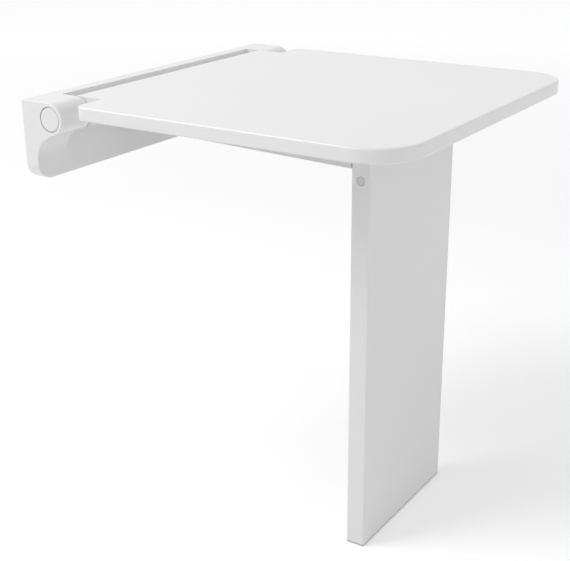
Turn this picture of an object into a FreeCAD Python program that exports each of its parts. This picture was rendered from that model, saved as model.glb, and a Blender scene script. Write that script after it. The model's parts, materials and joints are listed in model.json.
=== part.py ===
import FreeCAD, Part
import math
import os
import Sketcher

# Fold-down shower seat: a wall bracket, a seat board hinged to it and one broad leg under the front.
# The origin is the centre of the wall fixing, on the wall. X runs along the wall, Y points into the
# wall and Z points up, so the seat reaches out along -Y. All sizes are in millimetres.

# Driving dimensions
SIZES = [
    ("seat_height", 500.0, "top of the seat above the floor"),
    ("seat_width", 430.0, "seat board, along the wall"),
    ("seat_reach", 450.5, "front edge of the seat from the wall"),
    ("seat_thickness", 15.0, "seat board"),
    ("seat_rear", 32.0, "rear edges of the board beside the barrel, from the hinge axis"),
    ("front_corner", 52.0, "rounding of the board's front corners"),
    ("rear_corner", 11.0, "rounding of the board's rear corners"),
    ("top_round", 2.5, "rounding of the board's upper edge"),
    ("under_round", 1.5, "rounding of the board's lower edge"),
    ("ramp_reach", 61.0, "where the thickening at the barrel ends, from the hinge axis"),
    ("barrel_root", 41.0, "where the barrel's block ends in the board, from the hinge axis"),
    ("rim_width", 9.0, "rim round the hollow underside of the board"),
    ("rib_height", 9.0, "depth of the hollows between the ribs"),
    ("rib_thickness", 2.4, "ribs under the board"),
    ("rib_setback", 0.5, "ribs above the board's lower face"),
    ("pad_margin", 7.5, "solid pad under the board, beyond the frame's edges"),
    ("bracket_margin", 4.0, "bracket's end beyond the board's side"),
    ("bracket_height", 88.0, "wall bracket, top to bottom"),
    ("bracket_depth", 17.0, "flat part of the bracket, wall to front"),
    ("bracket_corner", 20.0, "rounding of the bracket's lower corners"),
    ("edge_round", 1.2, "small rounding round the bracket's ends"),
    ("core_wall", 4.0, "walls round the hollow behind each knuckle"),
    ("core_depth", 13.0, "depth of that hollow"),
    ("core_corner", 3.0, "rounding of that hollow's corners"),
    ("knuckle_length", 44.0, "hinge knuckle, along the wall"),
    ("barrel_radius", 17.5, "outside of the hinge knuckles and of the seat's barrel"),
    ("rear_slot", 4.5, "gap between the bracket's front and the barrel"),
    ("cove_radius", 32.0, "hollow curve under each knuckle"),
    ("cove_slope", 7.1, "straight slope from the knuckle's nose to the hollow curve"),
    ("hinge_gap", 1.0, "gap between a knuckle and the end of the barrel"),
    ("plate_side_margin", 21.0, "bracket beyond the fixing plate at each end"),
    ("plate_top_margin", 13.0, "bracket beyond the fixing plate at top and bottom"),
    ("plate_thickness", 6.0, "fixing plate"),
    ("plate_corner", 6.0, "rounding of the fixing plate's corners"),
    ("seat_clearance", 0.3, "play between pieces that are put together by hand"),
    ("slip_play", 0.1, "play between pieces that are pushed together"),
    ("running_play", 0.05, "radial play of a turning pin in its bush"),
    ("side_play", 0.2, "play along the axis between turning faces"),
    ("wall_hole_radius", 4.25, "wall screw holes in the fixing plate"),
    ("wall_hole_side_inset", 28.0, "wall screw holes from the plate's ends"),
    ("wall_hole_top_inset", 11.0, "wall screw holes from the plate's top and bottom"),
    ("head_room_radius", 11.0, "room for a wall screw's head, round"),
    ("head_room_depth", 13.5, "room for a wall screw's head, from the wall"),
    ("lock_screw_radius", 2.5, "set screws that lock bracket and tube"),
    ("lock_screw_inset", 78.0, "set screws of the bracket from the plate's ends"),
    ("lock_screw_setback", 3.8, "set screws of the bracket from the wall"),
    ("lock_screw_length", 12.0, "set screws of the bracket"),
    ("lock_screw_tip", 0.8, "bevel at the set screws' tips"),
    ("lock_key", 2.5, "hexagon sockets of the set screws, across the flats"),
    ("lock_key_depth", 3.0, "hexagon sockets of the set screws"),
    ("cap_radius", 13.2, "round cover over each hinge pin"),
    ("cap_gap", 0.6, "gap round the cover"),
    ("cap_thickness", 3.0, "cover's disc"),
    ("cap_bevel", 0.6, "bevel round the cover's face"),
    ("cap_relief", 0.5, "hollow inside the cover's disc"),
    ("cap_clip", 4.0, "length of the cover's clip ring"),
    ("chamber_depth", 9.5, "length of the room behind the cover"),
    ("pin_radius", 7.0, "hinge pin"),
    ("pin_head_radius", 10.8, "head of the hinge pin"),
    ("pin_head_length", 5.5, "head of the hinge pin"),
    ("pin_head_bevel", 1.0, "bevel of that head"),
    ("pin_head_play", 1.2, "room round that head"),
    ("pin_head_setback", 0.5, "that head inside the cover's seat"),
    ("pin_key", 8.0, "hexagon socket of the hinge pin, across the flats"),
    ("pin_key_depth", 4.0, "hexagon socket of the hinge pin"),
    ("pin_thread_radius", 5.0, "threaded end of the hinge pin"),
    ("pin_thread_length", 24.0, "threaded end of the hinge pin"),
    ("thread_room", 2.0, "room beyond the end of that thread"),
    ("bush_wall", 2.0, "wall of the knuckle bush"),
    ("bush_flange_radius", 14.0, "flange of the knuckle bush"),
    ("washer_thickness", 1.0, "spring washers"),
    ("barrel_wall", 5.0, "barrel's wall round the steel tube"),
    ("tube_wall", 2.5, "wall of the steel tube inside the barrel"),
    ("tube_setback", 0.2, "tube's end inside the barrel's end"),
    ("tube_lock_inset", 15.8, "screws that lock the tube, from its ends"),
    ("tube_lock_proud", 3.0, "those screws below the tube"),
    ("tube_lock_gap", 0.8, "those screws' tips from the pin's thread"),
    ("tube_lock_room", 0.7, "room round those screws in the barrel"),
    ("plug_length", 32.0, "threaded plug in each end of the tube"),
    ("leg_width", 195.0, "leg and frame, along the wall"),
    ("frame_sheet", 3.0, "thickness of the frame's sheet"),
    ("frame_lip", 18.4, "frame's top plate in front of the leg's pins"),
    ("frame_barrel_gap", 0.7, "gap between the frame's top plate and the barrel"),
    ("frame_corner", 8.0, "rounding of the top plate's front corners"),
    ("frame_taper", 9.4, "how much shallower the frame's sides are at the rear"),
    ("frame_gap", 0.5, "gap between the frame's sides and the leg"),
    ("weld_depth", 0.5, "how far welded or moulded pieces run into each other"),
    ("eye_wall", 2.5, "eyes of the frame round the tube"),
    ("heel_rise", 11.0, "height of the heel's rear edge"),
    ("lug_thickness", 6.0, "lugs that carry the leg"),
    ("lug_inset", 3.0, "lug from the inside of the leg's side wall"),
    ("lug_gap", 0.45, "play between a lug's eye and the leg's front and rear walls"),
    ("lug_play", 1.2, "room round a lug in the leg's notch"),
    ("lug_flare", 6.0, "how much a lug widens where it is welded on"),
    ("cross_rear", 61.0, "rear face of the cross member from the hinge axis"),
    ("cross_width", 30.0, "cross member, rear to front"),
    ("leg_offset", 347.6, "leg pin from the wall"),
    ("pin_drop", 68.0, "leg pin below the seat's top"),
    ("leg_depth", 22.3, "leg, rear to front"),
    ("leg_corner", 1.8, "rounding of the leg's long edges"),
    ("leg_wall", 2.5, "leg's outer wall"),
    ("leg_web", 2.0, "webs inside the leg"),
    ("leg_top_room", 6.0, "room between the leg's cap and the frame's top plate"),
    ("leg_pin_radius", 5.0, "leg pin"),
    ("leg_pin_neck", 4.0, "leg pin's neck in the web"),
    ("leg_pin_bevel", 0.3, "bevel of the leg pin's end"),
    ("leg_pin_end", 1.5, "leg pin beyond its clip"),
    ("leg_pin_fit", 0.02, "play of the leg pin in the leg"),
    ("lug_bush_wall", 1.2, "wall of the lug bush"),
    ("clip_groove", 0.8, "depth of the groove for the pin's clip"),
    ("clip_thickness", 1.0, "clip on the leg pin"),
    ("clip_proud", 2.8, "clip beyond the leg pin's neck"),
    ("clip_mouth", 1.0, "start of the clip's mouth above the pin's middle"),
    ("top_cap", 2.0, "plate of the cap on top of the leg"),
    ("top_cap_plug", 10.0, "cap's plugs inside the leg"),
    ("foot_plate", 2.0, "plate of the foot below the leg"),
    ("sole_proud", 0.5, "rubber sole below the foot's plate"),
    ("sole_recess", 1.0, "rubber sole inside the foot's plate"),
    ("sole_inset", 3.0, "rubber sole from the foot's edge"),
    ("finger_height", 45.0, "fingers of the foot inside the leg"),
    ("finger_play", 0.25, "play of the foot's fingers in the leg"),
    ("foot_travel", 20.0, "how far the foot can be let down"),
    ("clamp_radius", 2.5, "clamp screws of the foot"),
    ("clamp_height", 32.0, "clamp screws above the leg's lower end"),
    ("clamp_head_radius", 4.75, "heads of the clamp screws"),
    ("clamp_head_height", 2.8, "heads of the clamp screws"),
    ("clamp_head_bevel", 1.2, "bevel of those heads"),
    ("clamp_key", 3.0, "hexagon sockets of the clamp screws, across the flats"),
    ("clamp_key_depth", 2.0, "hexagon sockets of the clamp screws"),
    ("clamp_insert_wall", 1.2, "wall of the clamp screws' inserts"),
    ("clamp_insert_length", 9.0, "the clamp screws' inserts"),
    ("clamp_room", 2.0, "room beyond those inserts"),
    ("board_screw_radius", 3.0, "screws that hold the frame to the board"),
    ("board_screw_span", 120.0, "distance between the two rows of screws"),
    ("board_screw_first", 116.0, "first screws from the hinge axis"),
    ("board_screw_pitch", 48.0, "distance between the screws in a row"),
    ("board_head_radius", 5.5, "heads of those screws"),
    ("board_head_height", 3.3, "heads of those screws"),
    ("board_head_bevel", 1.5, "bevel of those heads"),
    ("board_screw_tip", 1.0, "bevel at those screws' tips"),
    ("board_key", 4.0, "hexagon sockets of those screws, across the flats"),
    ("board_key_depth", 2.1, "hexagon sockets of those screws"),
    ("insert_radius", 4.5, "threaded inserts in the board"),
    ("insert_length", 9.0, "threaded inserts in the board"),
    ("end_room", 0.5, "room beyond a screw's or stem's end"),
    ("buffer_radius", 9.0, "rubber buffers for the folded leg"),
    ("buffer_height", 8.55, "those buffers below the cross member"),
    ("buffer_bevel", 2.0, "bevel of those buffers"),
    ("buffer_span", 80.0, "distance between those buffers"),
    ("buffer_stem", 4.0, "stem of those buffers beyond the sheet"),
    ("stop_radius", 6.0, "rubber stops behind the frame's heels"),
    ("stop_height", 3.1, "those stops in front of the bracket"),
    ("stop_bevel", 0.8, "bevel of those stops"),
    ("stop_stem", 5.5, "stem of those stops in the bracket"),
    ("stem_radius", 3.0, "stems of all rubber buffers"),
    ("barb", 1.0, "how far a buffer's barb stands out round its stem"),
    ("barb_taper", 0.5, "how much slimmer the tip behind the barb is than the stem"),
]

doc = FreeCAD.newDocument("shower_seat")
sheet = doc.addObject("Spreadsheet::Sheet", "Sizes")
for row, (alias, number, meaning) in enumerate(SIZES, start=1):
    sheet.set(f"A{row}", meaning)
    sheet.set(f"B{row}", str(number))
    sheet.setAlias(f"B{row}", alias)
doc.recompute()

# How far a cut runs past the face that it opens
PAST = "1"

# Counts: chambers across the leg, screws in a row, and hollows between the ribs each way
CHAMBERS = 5
ROW_SCREWS = 4
RIB_ROWS = 9
RIB_COLUMNS = 12

# Places and sizes that several pieces share, written once from the driving dimensions
TOP = "(Sizes.bracket_height / 2)"
BOTTOM = "(-Sizes.bracket_height / 2)"
SEAT_HALF = "(Sizes.seat_width / 2)"
HALF = f"({SEAT_HALF} + Sizes.bracket_margin)"
FRONT = "(-Sizes.bracket_depth)"
AXIS_Y = f"({FRONT} - Sizes.rear_slot - Sizes.barrel_radius)"
AXIS_Z = f"({TOP} - Sizes.barrel_radius)"
KNUCKLE_IN = f"({HALF} - Sizes.knuckle_length)"
BARREL_END = f"({KNUCKLE_IN} - Sizes.hinge_gap)"
TUBE_END = f"({BARREL_END} - Sizes.tube_setback)"
TUBE_RADIUS = "(Sizes.barrel_radius - Sizes.barrel_wall)"
TUBE_BORE = f"({TUBE_RADIUS} - Sizes.tube_wall)"
TUBE_LOCK = f"({TUBE_END} - Sizes.tube_lock_inset)"
EYE_RADIUS = f"({TUBE_RADIUS} + Sizes.eye_wall)"
PLATE_HALF = f"({HALF} - Sizes.plate_side_margin)"
PLATE_TOP = f"({TOP} - Sizes.plate_top_margin)"
WALL_HOLE_X = f"({PLATE_HALF} - Sizes.wall_hole_side_inset)"
WALL_HOLE_Z = f"({PLATE_TOP} - Sizes.wall_hole_top_inset)"
LOCK_X = f"({PLATE_HALF} - Sizes.lock_screw_inset)"
LOCK_HOLE = "(Sizes.lock_screw_radius + Sizes.running_play)"
CAP_SEAT = f"({HALF} - Sizes.cap_thickness)"
CHAMBER_END = f"({CAP_SEAT} - Sizes.chamber_depth)"
CHAMBER_RADIUS = "(Sizes.pin_head_radius + Sizes.pin_head_play)"
PIN_BORE = "(Sizes.pin_radius + Sizes.running_play)"
KNUCKLE_BUSH = f"({PIN_BORE} + Sizes.bush_wall)"
UNDER = f"({TOP} - Sizes.seat_thickness)"
SEAT_FRONT = "(-Sizes.seat_reach)"
SEAT_REAR = f"({AXIS_Y} - Sizes.seat_rear)"
FRAME_UNDER = f"({UNDER} - Sizes.frame_sheet)"
FRAME_FRONT = "(-Sizes.leg_offset - Sizes.frame_lip)"
FRAME_REAR = f"({AXIS_Y} - Sizes.barrel_radius - Sizes.frame_barrel_gap)"
SCREW_X = "(Sizes.board_screw_span / 2)"
SCREW_Y = f"({AXIS_Y} - Sizes.board_screw_first)"
PIN_Y = "(-Sizes.leg_offset)"
PIN_Z = f"({TOP} - Sizes.pin_drop)"
LEG_HALF = "(Sizes.leg_width / 2)"
LEG_REAR = f"({PIN_Y} + Sizes.leg_depth / 2)"
LEG_FRONT = f"({PIN_Y} - Sizes.leg_depth / 2)"
LEG_TOP = f"({FRAME_UNDER} - Sizes.leg_top_room - Sizes.top_cap)"
FLOOR = f"({TOP} - Sizes.seat_height)"
LEG_END = f"({FLOOR} + Sizes.sole_proud + Sizes.foot_plate)"
WEBS = f"{CHAMBERS - 1} * Sizes.leg_web"
CHAMBER_WIDTH = f"((Sizes.leg_width - 2 * Sizes.leg_wall - {WEBS}) / {CHAMBERS})"
CHAMBER_PITCH = f"({CHAMBER_WIDTH} + Sizes.leg_web)"
CHAMBER_DEPTH = "(Sizes.leg_depth - 2 * Sizes.leg_wall)"
OUTER_WEB = f"({LEG_HALF} - Sizes.leg_wall - {CHAMBER_WIDTH} - Sizes.leg_web)"
LUG_OUT = f"({LEG_HALF} - Sizes.leg_wall - Sizes.lug_inset)"
LUG_IN = f"({LUG_OUT} - Sizes.lug_thickness)"
LUG_RADIUS = f"({CHAMBER_DEPTH} / 2 - Sizes.lug_gap)"
LEG_PIN_BORE = "(Sizes.leg_pin_radius + Sizes.running_play)"
LUG_BUSH = f"({LEG_PIN_BORE} + Sizes.lug_bush_wall)"
LEG_PIN_GROOVE = f"({OUTER_WEB} - Sizes.running_play)"
SIDE_FRONT = f"({LEG_REAR} + Sizes.frame_gap)"
SIDE_LOW = f"({PIN_Z} + Sizes.leg_depth / 2 + Sizes.frame_gap)"
HEEL_LOW = f"({SIDE_LOW} + Sizes.frame_taper)"
STOP_FACE = f"({FRONT} - Sizes.stop_height)"
HEEL_Y = f"({STOP_FACE} - Sizes.seat_clearance)"
STOP_X = f"({LEG_HALF} - Sizes.frame_sheet / 2)"
STOP_Z = f"({HEEL_LOW} + Sizes.heel_rise / 2)"
CROSS_REAR = f"({AXIS_Y} - Sizes.cross_rear)"
BUFFER_TIP = f"({PIN_Z} + Sizes.leg_depth / 2 + Sizes.seat_clearance)"
CROSS_LOW = f"({BUFFER_TIP} + Sizes.buffer_height)"
BUFFER_Y = f"({CROSS_REAR} - Sizes.cross_width / 2)"
CLAMP_X = f"({(CHAMBERS - 1) // 2} * {CHAMBER_PITCH})"
CLAMP_Z = f"({LEG_END} + Sizes.clamp_height)"
CLAMP_INSERT = "(Sizes.clamp_radius + Sizes.clamp_insert_wall)"

bodies = []


def number(expression):
    """Value of an expression over the sheet."""
    return float(sheet.evalExpression(expression))


def new_body(name):
    """Start one sub-part."""
    body = doc.addObject("PartDesign::Body", name)
    body.Label = name
    bodies.append(body)
    return body


def datum(body, role):
    """One of the body's own origin planes or axes."""
    return next(item for item in body.Origin.OriginFeatures if item.Role == role)


def new_sketch(body, plane, x="0", y="0", z="0"):
    """A sketch on an origin plane, with its own origin moved to the point x, y, z."""
    sketch = body.newObject("Sketcher::SketchObject", f"{body.Name}_sketch")
    sketch.AttachmentSupport = [(datum(body, f"{plane}_Plane"), "")]
    sketch.MapMode = "FlatFace"
    moves = {"XY": (x, y, z), "XZ": (x, z, f"-({y})"), "YZ": (y, z, x)}
    for letter, move in zip("xyz", moves[plane]):
        sketch.setExpression(f"AttachmentOffset.Base.{letter}", move)
    return sketch


def pin_point(sketch, geometry, end, x, y):
    """Hold one point of a sketch at x, y from the sketch's origin."""
    for kind, axis, place in (("DistanceX", -2, x), ("DistanceY", -1, y)):
        if place is None:
            continue
        if place == "0":
            sketch.addConstraint(Sketcher.Constraint("PointOnObject", geometry, end, axis))
            continue
        rule = Sketcher.Constraint(kind, -1, 1, geometry, end, number(place))
        index = sketch.addConstraint(rule)
        sketch.setExpression(f"Constraints[{index}]", place)


def polygon(sketch, corners):
    """A closed outline of straight lines through the corners."""
    first = sketch.GeometryCount
    points = [FreeCAD.Vector(number(x), number(y), 0) for x, y in corners]
    for index, start in enumerate(points):
        sketch.addGeometry(Part.LineSegment(start, points[(index + 1) % len(points)]), False)
    for index in range(len(points)):
        following = first + (index + 1) % len(points)
        sketch.addConstraint(Sketcher.Constraint("Coincident", first + index, 2, following, 1))
    for index, (x, y) in enumerate(corners):
        pin_point(sketch, first + index, 1, x, y)


def rectangle(sketch, left, right, low, high):
    """A rectangle between two places across and two places up."""
    polygon(sketch, [(left, low), (right, low), (right, high), (left, high)])


def circle(sketch, x, y, radius):
    """A circle with its centre at x, y."""
    middle = FreeCAD.Vector(number(x), number(y), 0)
    ring = Part.Circle(middle, FreeCAD.Vector(0, 0, 1), number(radius))
    geometry = sketch.addGeometry(ring, False)
    pin_point(sketch, geometry, 3, x, y)
    index = sketch.addConstraint(Sketcher.Constraint("Radius", geometry, number(radius)))
    sketch.setExpression(f"Constraints[{index}]", radius)


def arc(sketch, x, y, radius, start, end):
    """An arc round x, y whose ends other constraints place."""
    middle = FreeCAD.Vector(number(x), number(y), 0)
    ring = Part.Circle(middle, FreeCAD.Vector(0, 0, 1), number(radius))
    curve = Part.ArcOfCircle(ring, math.radians(start), math.radians(end))
    geometry = sketch.addGeometry(curve, False)
    pin_point(sketch, geometry, 3, x, y)
    index = sketch.addConstraint(Sketcher.Constraint("Radius", geometry, number(radius)))
    sketch.setExpression(f"Constraints[{index}]", radius)
    return geometry


def line(sketch, start, end):
    """A line between two points given in millimetres, placed by other constraints."""
    segment = Part.LineSegment(FreeCAD.Vector(*start, 0), FreeCAD.Vector(*end, 0))
    return sketch.addGeometry(segment, False)


def extrude(body, kind, sketch, length):
    """Pad or Pocket a sketch by half the length to each side of its plane."""
    feature = body.newObject(f"PartDesign::{kind}", f"{body.Name}_{kind.lower()}")
    feature.Profile = sketch
    feature.SideType = "Symmetric"
    feature.setExpression("Length", length)
    return checked(body, feature, kind == "Pocket")


def checked(body, feature, removes):
    """Recompute, and stop where a cut takes nothing away or a shape fails."""
    before = feature.BaseFeature.Shape.Volume if feature.BaseFeature else 0.0
    doc.recompute()
    if feature.Shape.isNull() or not feature.Shape.isValid():
        raise RuntimeError(f"{feature.Label} has no valid shape")
    change = feature.Shape.Volume - before
    if (change > -1e-6) if removes else (change < 1e-6):
        raise RuntimeError(f"{feature.Label} changes nothing")
    return feature


def slab(body, kind, plane, start, end, draw):
    """Pad or Pocket an outline from one place to another along its plane's normal."""
    middle = f"(({start}) + ({end})) / 2"
    offsets = {"XY": {"z": middle}, "XZ": {"y": middle}, "YZ": {"x": middle}}
    sketch = new_sketch(body, plane, **offsets[plane])
    draw(sketch)
    return extrude(body, kind, sketch, f"abs(({end}) - ({start}))")


def turned(body, kind, axis, corners, x="0", y="0", z="0"):
    """Turn an outline of places along the axis and radii round the axis through x, y, z."""
    sketch = new_sketch(body, "XY" if axis == "Y" else "XZ", x, y, z)
    polygon(sketch, corners if axis == "X" else [(radius, along) for along, radius in corners])
    feature = body.newObject(f"PartDesign::{kind}", f"{body.Name}_{kind.lower()}")
    feature.Profile = sketch
    feature.ReferenceAxis = (sketch, ["H_Axis" if axis == "X" else "V_Axis"])
    feature.Angle = 360
    return checked(body, feature, kind == "Groove")


def mirrored(body, features):
    """Repeat features on the other side of the middle."""
    mirror = body.newObject("PartDesign::Mirrored", f"{body.Name}_mirror")
    mirror.Originals = features
    mirror.MirrorPlane = (datum(body, "YZ_Plane"), [""])
    body.Tip = mirror
    doc.recompute()


def repeated(body, features):
    """Repeat a screw's features along its row, towards the front."""
    row_of = body.newObject("PartDesign::LinearPattern", f"{body.Name}_row")
    row_of.Originals = features
    row_of.Direction = (datum(body, "Y_Axis"), [""])
    row_of.Reversed = True
    row_of.Occurrences = ROW_SCREWS
    row_of.setExpression("Length", f"{ROW_SCREWS - 1} * Sizes.board_screw_pitch")
    body.Tip = row_of
    doc.recompute()


def rounded(body, radius, chosen):
    """Fillet the edges that the test picks."""
    doc.recompute()
    base = body.Tip
    names = [f"Edge{i}" for i, edge in enumerate(base.Shape.Edges, start=1) if chosen(edge)]
    feature = body.newObject("PartDesign::Fillet", f"{body.Name}_fillet")
    feature.Base = (base, names)
    feature.setExpression("Radius", radius)
    doc.recompute()
    if feature.Shape.isNull() or not feature.Shape.isValid():
        raise RuntimeError(f"{feature.Label} has no valid shape")


def lies_on(edge, letter, place):
    """True where the whole edge keeps one coordinate."""
    box = edge.BoundBox
    low, high = getattr(box, f"{letter}Min"), getattr(box, f"{letter}Max")
    return abs(low - place) < 0.01 and abs(high - place) < 0.01


def runs_along(edge, letter, *places):
    """True for a straight edge along one axis at given places on the two others."""
    others = [name for name in "XYZ" if name != letter]
    return all(lies_on(edge, name, place) for name, place in zip(others, places))


def both_ways(*parts):
    """A place on each side of the middle, for one or two coordinates."""
    signs = ("-", "")
    if len(parts) == 1:
        return [f"{sign}{parts[0]}" for sign in signs]
    return [(f"{first}{parts[0]}", f"{second}{parts[1]}") for first in signs for second in signs]


def hexagon(sketch, x, y, across):
    """A hexagon socket with the given width across its flats."""
    corners = []
    for step in range(6):
        turn = math.radians(60 * step)
        along, up = math.cos(turn) / math.sqrt(3), math.sin(turn) / math.sqrt(3)
        corners.append((f"{x} + {across} * {along:.6f}", f"{y} + {across} * {up:.6f}"))
    polygon(sketch, corners)


def upright_slot(sketch, x, low, high, radius):
    """A slot with round ends whose centres lie at two heights."""
    left, right = number(f"{x} - {radius}"), number(f"{x} + {radius}")
    bottom, top = number(low), number(high)
    cap = arc(sketch, x, high, radius, 0, 180)
    down = line(sketch, (left, top), (left, bottom))
    base = arc(sketch, x, low, radius, 180, 360)
    up = line(sketch, (right, bottom), (right, top))
    for rule in (("Tangent", cap, 2, down, 1), ("Tangent", down, 2, base, 1),
                 ("Tangent", base, 2, up, 1), ("Coincident", up, 2, cap, 1)):
        sketch.addConstraint(Sketcher.Constraint(*rule))


def knuckle_profile(sketch):
    """Side view of a knuckle: flat top, round nose, slope and the hollow down to the plate."""
    inside = "(-Sizes.bracket_depth / 2)"
    cove_y = f"({FRONT} - Sizes.cove_radius)"
    between = f"(Sizes.barrel_radius + Sizes.cove_radius)"
    foot = f"({AXIS_Z} - sqrt({between}^2 + Sizes.cove_slope^2 - ({cove_y} - {AXIS_Y})^2))"
    axis = (number(AXIS_Y), number(AXIS_Z))
    radius, cove = number("Sizes.barrel_radius"), number("Sizes.cove_radius")
    hollow = (number(cove_y), number(foot))
    reach = math.hypot(hollow[0] - axis[0], hollow[1] - axis[1])
    bearing = math.degrees(math.atan2(hollow[1] - axis[1], hollow[0] - axis[0])) % 360
    turn = bearing - math.degrees(math.acos((radius + cove) / reach))
    leave = (axis[0] + radius * math.cos(math.radians(turn)),
             axis[1] + radius * math.sin(math.radians(turn)))
    arrive = (hollow[0] - cove * math.cos(math.radians(turn)),
              hollow[1] - cove * math.sin(math.radians(turn)))
    top = line(sketch, (number(inside), number(TOP)), (axis[0], number(TOP)))
    nose = arc(sketch, AXIS_Y, AXIS_Z, "Sizes.barrel_radius", 90, turn)
    slope = line(sketch, leave, arrive)
    hollow_arc = arc(sketch, cove_y, foot, "Sizes.cove_radius", 0, turn - 180)
    step = line(sketch, (number(FRONT), number(foot)), (number(inside), number(foot)))
    back = line(sketch, (number(inside), number(foot)), (number(inside), number(TOP)))
    for rule in (("Tangent", top, 2, nose, 1), ("Tangent", nose, 2, slope, 1),
                 ("Tangent", slope, 2, hollow_arc, 2), ("Coincident", hollow_arc, 1, step, 1),
                 ("Coincident", step, 2, back, 1), ("Coincident", back, 2, top, 1),
                 ("Horizontal", top), ("Horizontal", step), ("Vertical", back),
                 ("Horizontal", hollow_arc, 3, hollow_arc, 1)):
        sketch.addConstraint(Sketcher.Constraint(*rule))
    pin_point(sketch, top, 1, inside, None)


def barrel_profile(sketch, root, ramp):
    """Side view of the seat's barrel and its root in the board, with or without a ramp below."""
    axis = (number(AXIS_Y), number(AXIS_Z))
    radius = number("Sizes.barrel_radius")
    corner = (number(root), number(UNDER))
    if ramp:
        reach = math.hypot(corner[0] - axis[0], corner[1] - axis[1])
        bearing = math.degrees(math.atan2(corner[1] - axis[1], corner[0] - axis[0])) % 360
        turn = bearing + math.degrees(math.acos(radius / reach))
    else:
        turn = 180 - math.degrees(math.asin((corner[1] - axis[1]) / radius))
    touch = (axis[0] + radius * math.cos(math.radians(turn)),
             axis[1] + radius * math.sin(math.radians(turn)))
    top = line(sketch, (corner[0], number(TOP)), (axis[0], number(TOP)))
    ring = arc(sketch, AXIS_Y, AXIS_Z, "Sizes.barrel_radius", turn, 450)
    under = line(sketch, touch, corner)
    front = line(sketch, corner, (corner[0], number(TOP)))
    for rule in (("Tangent", top, 2, ring, 2), ("Tangent" if ramp else "Coincident", ring, 1, under, 1),
                 ("Coincident", under, 2, front, 1), ("Coincident", front, 2, top, 1),
                 ("Horizontal", top), ("Vertical", front)):
        sketch.addConstraint(Sketcher.Constraint(*rule))
    pin_point(sketch, under, 2, root, UNDER)
    if not ramp:
        sketch.addConstraint(Sketcher.Constraint("Horizontal", under))


def build_wall_bracket():
    """Cast bracket: a flat back with a knuckle at each end, recessed for the fixing plate."""
    body = new_body("wall_bracket")
    slab(body, "Pad", "XZ", FRONT, "0", lambda s: rectangle(s, f"-{HALF}", HALF, BOTTOM, TOP))
    half, low = number(HALF), number(BOTTOM)
    rounded(body, "Sizes.bracket_corner",
            lambda e: runs_along(e, "Y", half, low) or runs_along(e, "Y", -half, low))
    knuckle = slab(body, "Pad", "YZ", KNUCKLE_IN, HALF, knuckle_profile)
    mirrored(body, [knuckle])
    corner = low + number("Sizes.bracket_corner")
    front = number(FRONT)

    def on_the_rim(edge):
        box = edge.BoundBox
        if box.YMax > -0.01 and box.YMin > -0.01:
            return False
        if lies_on(edge, "X", half) or lies_on(edge, "X", -half):
            return not lies_on(edge, "Z", corner)
        return lies_on(edge, "Y", front) and box.ZMin < corner and box.ZMax < corner + 0.01

    rounded(body, "Sizes.edge_round", on_the_rim)
    wide, tall = f"({PLATE_HALF} + Sizes.seat_clearance)", f"({PLATE_TOP} + Sizes.seat_clearance)"
    slab(body, "Pocket", "XZ", "-(Sizes.plate_thickness + Sizes.seat_clearance)", "0",
         lambda s: rectangle(s, f"-{wide}", wide, f"-{tall}", tall))

    def head_rooms(sketch):
        for x, z in both_ways(WALL_HOLE_X, WALL_HOLE_Z):
            circle(sketch, x, z, "Sizes.head_room_radius")

    slab(body, "Pocket", "XZ", "-Sizes.head_room_depth", "0", head_rooms)

    def lock_holes(sketch):
        for x in both_ways(LOCK_X):
            circle(sketch, x, "-Sizes.lock_screw_setback", LOCK_HOLE)

    slab(body, "Pocket", "XY", f"{BOTTOM} - {PAST}", f"-{tall} + {PAST}", lock_holes)
    core_in, core_out = f"({wide} + Sizes.core_wall)", f"({HALF} - Sizes.core_wall)"
    core_low, core_high = f"({BOTTOM} + Sizes.bracket_corner)", f"({TOP} - Sizes.core_wall)"

    def end_cores(sketch):
        rectangle(sketch, core_in, core_out, core_low, core_high)
        rectangle(sketch, f"-{core_out}", f"-{core_in}", core_low, core_high)

    slab(body, "Pocket", "XZ", "-Sizes.core_depth", "0", end_cores)
    inner, outer = number(core_in), number(core_out)
    base, crown = number(core_low), number(core_high)
    rounded(body, "Sizes.core_corner", lambda e: any(
        runs_along(e, "Y", x, z) for x in (-outer, -inner, inner, outer) for z in (base, crown)))
    bore = turned(body, "Groove", "X", [
        (f"{HALF} + {PAST}", "0"),
        (f"{HALF} + {PAST}", "Sizes.cap_radius + Sizes.cap_gap"),
        (CAP_SEAT, "Sizes.cap_radius + Sizes.cap_gap"),
        (CAP_SEAT, CHAMBER_RADIUS),
        (CHAMBER_END, CHAMBER_RADIUS),
        (CHAMBER_END, KNUCKLE_BUSH),
        (f"{KNUCKLE_IN} - {PAST}", KNUCKLE_BUSH),
        (f"{KNUCKLE_IN} - {PAST}", "0"),
    ], y=AXIS_Y, z=AXIS_Z)
    stop = slab(body, "Pocket", "XZ", FRONT, f"{FRONT} + Sizes.stop_stem + Sizes.end_room",
                lambda s: circle(s, STOP_X, STOP_Z, "Sizes.stem_radius"))
    mirrored(body, [bore, stop])


def build_fixing_plate():
    """Steel plate that the wall screws hold, inside the back of the bracket."""
    body = new_body("fixing_plate")
    slab(body, "Pad", "XZ", "-Sizes.plate_thickness", "0",
         lambda s: rectangle(s, f"-{PLATE_HALF}", PLATE_HALF, f"-{PLATE_TOP}", PLATE_TOP))
    corner_x, corner_z = number(PLATE_HALF), number(PLATE_TOP)
    rounded(body, "Sizes.plate_corner", lambda e: any(
        runs_along(e, "Y", x, z) for x in (-corner_x, corner_x) for z in (-corner_z, corner_z)))

    def holes(sketch):
        for x, z in both_ways(WALL_HOLE_X, WALL_HOLE_Z):
            circle(sketch, x, z, "Sizes.wall_hole_radius")

    slab(body, "Pocket", "XZ", f"-Sizes.plate_thickness - {PAST}", PAST, holes)


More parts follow.
